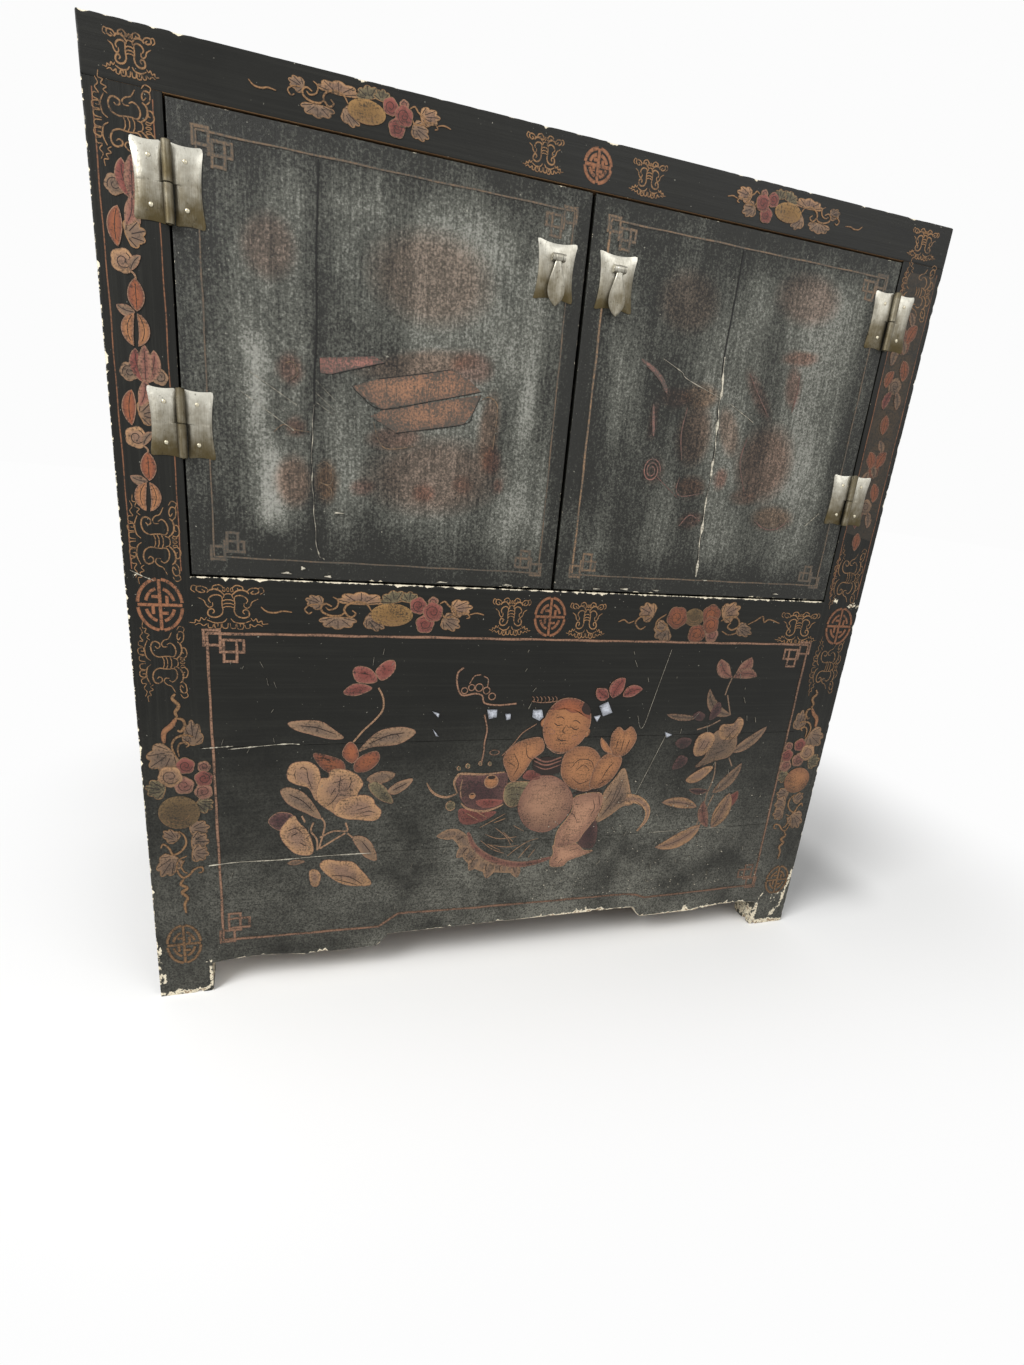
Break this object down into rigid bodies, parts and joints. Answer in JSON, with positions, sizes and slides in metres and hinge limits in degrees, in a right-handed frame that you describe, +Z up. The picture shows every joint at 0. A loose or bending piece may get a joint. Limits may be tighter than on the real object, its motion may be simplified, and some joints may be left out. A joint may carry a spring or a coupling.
{
  "type": "lacquered sideboard cupboard",
  "caption": "Low black lacquer cupboard on square posts: a pair of hinged doors over a closed coffer with a shaped apron, reached through a lift-out floor board.",
  "frame": {"origin": "middle of the part's box on the floor, under the four feet", "axes": "+Z up, front with the doors towards -Y, +X to the viewer's right facing the doors"},
  "size_m": [0.96, 0.4914, 1.01],
  "materials": {
    "black_lacquer": "black lacquer over gesso on wood, worn to grey, with painted gold-brown, red and cream ornament",
    "worn_door_lacquer": "black lacquer rubbed grey along the grain, with faded painted ornament",
    "bare_wood": "bare aged softwood",
    "old_brass": "pale aged brass, hammered, rubbed bright on the crowns"
  },
  "bodies": {
    "cabinet": {"post_front_left": "black_lacquer", "post_front_right": "black_lacquer", "post_back_left": "black_lacquer", "post_back_right": "black_lacquer", "top_front": "black_lacquer", "top_back": "black_lacquer", "top_left": "black_lacquer", "top_right": "black_lacquer", "top_panel": "black_lacquer", "top_batten": "bare_wood", "rail_front": "black_lacquer", "rail_back": "black_lacquer", "rail_left": "black_lacquer", "rail_right": "black_lacquer", "apron_front": "black_lacquer", "bottom_rail_back": "black_lacquer", "bottom_rail_left": "black_lacquer", "bottom_rail_right": "black_lacquer", "coffer_board_lower": "black_lacquer", "coffer_board_middle": "black_lacquer", "coffer_board_upper": "black_lacquer", "coffer_batten": "bare_wood", "side_panel_upper_left": "black_lacquer", "side_panel_lower_left": "black_lacquer", "side_panel_upper_right": "black_lacquer", "side_panel_lower_right": "black_lacquer", "back_panel_upper": "bare_wood", "back_panel_lower": "bare_wood", "coffer_floor": "bare_wood", "floor_board_left": "bare_wood", "floor_board_right": "bare_wood", "floor_bearer_left": "bare_wood", "floor_bearer_right": "bare_wood", "door_stop_lower": "bare_wood", "door_stop_upper": "bare_wood", "hinge_lower_left_post_leaf": "old_brass", "hinge_upper_left_post_leaf": "old_brass", "hinge_lower_right_post_leaf": "old_brass", "hinge_upper_right_post_leaf": "old_brass"},
    "door_left": {"door_left_hinge_stile": "worn_door_lacquer", "door_left_meeting_stile": "worn_door_lacquer", "door_left_bottom_rail": "worn_door_lacquer", "door_left_top_rail": "worn_door_lacquer", "door_left_panel": "worn_door_lacquer", "hinge_lower_left_door_leaf": "old_brass", "hinge_upper_left_door_leaf": "old_brass", "pull_plate_left": "old_brass"},
    "pull_left": {"pull_pendant_left": "old_brass"},
    "door_right": {"door_right_hinge_stile": "worn_door_lacquer", "door_right_meeting_stile": "worn_door_lacquer", "door_right_bottom_rail": "worn_door_lacquer", "door_right_top_rail": "worn_door_lacquer", "door_right_panel": "worn_door_lacquer", "hinge_lower_right_door_leaf": "old_brass", "hinge_upper_right_door_leaf": "old_brass", "pull_plate_right": "old_brass"},
    "pull_right": {"pull_pendant_right": "old_brass"},
    "coffer_lid": {"coffer_lid": "bare_wood"}
  },
  "joints": [
    {"name": "door_left_hinge", "type": "hinge", "parent": "cabinet", "child": "door_left", "pos_m": [-0.4155, -0.2388, 0.754], "axis": [0, 0, -1], "range_deg": [0, 170]},
    {"name": "door_right_hinge", "type": "hinge", "parent": "cabinet", "child": "door_right", "pos_m": [0.4155, -0.2388, 0.754], "axis": [0, 0, 1], "range_deg": [0, 170]},
    {"name": "pull_left_swing", "type": "hinge", "parent": "door_left", "child": "pull_left", "pos_m": [-0.036, -0.2419, 0.897], "axis": [-1, 0, 0], "range_deg": [-3, 100]},
    {"name": "pull_right_swing", "type": "hinge", "parent": "door_right", "child": "pull_right", "pos_m": [0.036, -0.2419, 0.897], "axis": [-1, 0, 0], "range_deg": [-3, 100]},
    {"name": "coffer_lid_lift", "type": "slide", "parent": "cabinet", "child": "coffer_lid", "axis": [0, 0, 1], "range_m": [0, 0.25]}
  ]
}
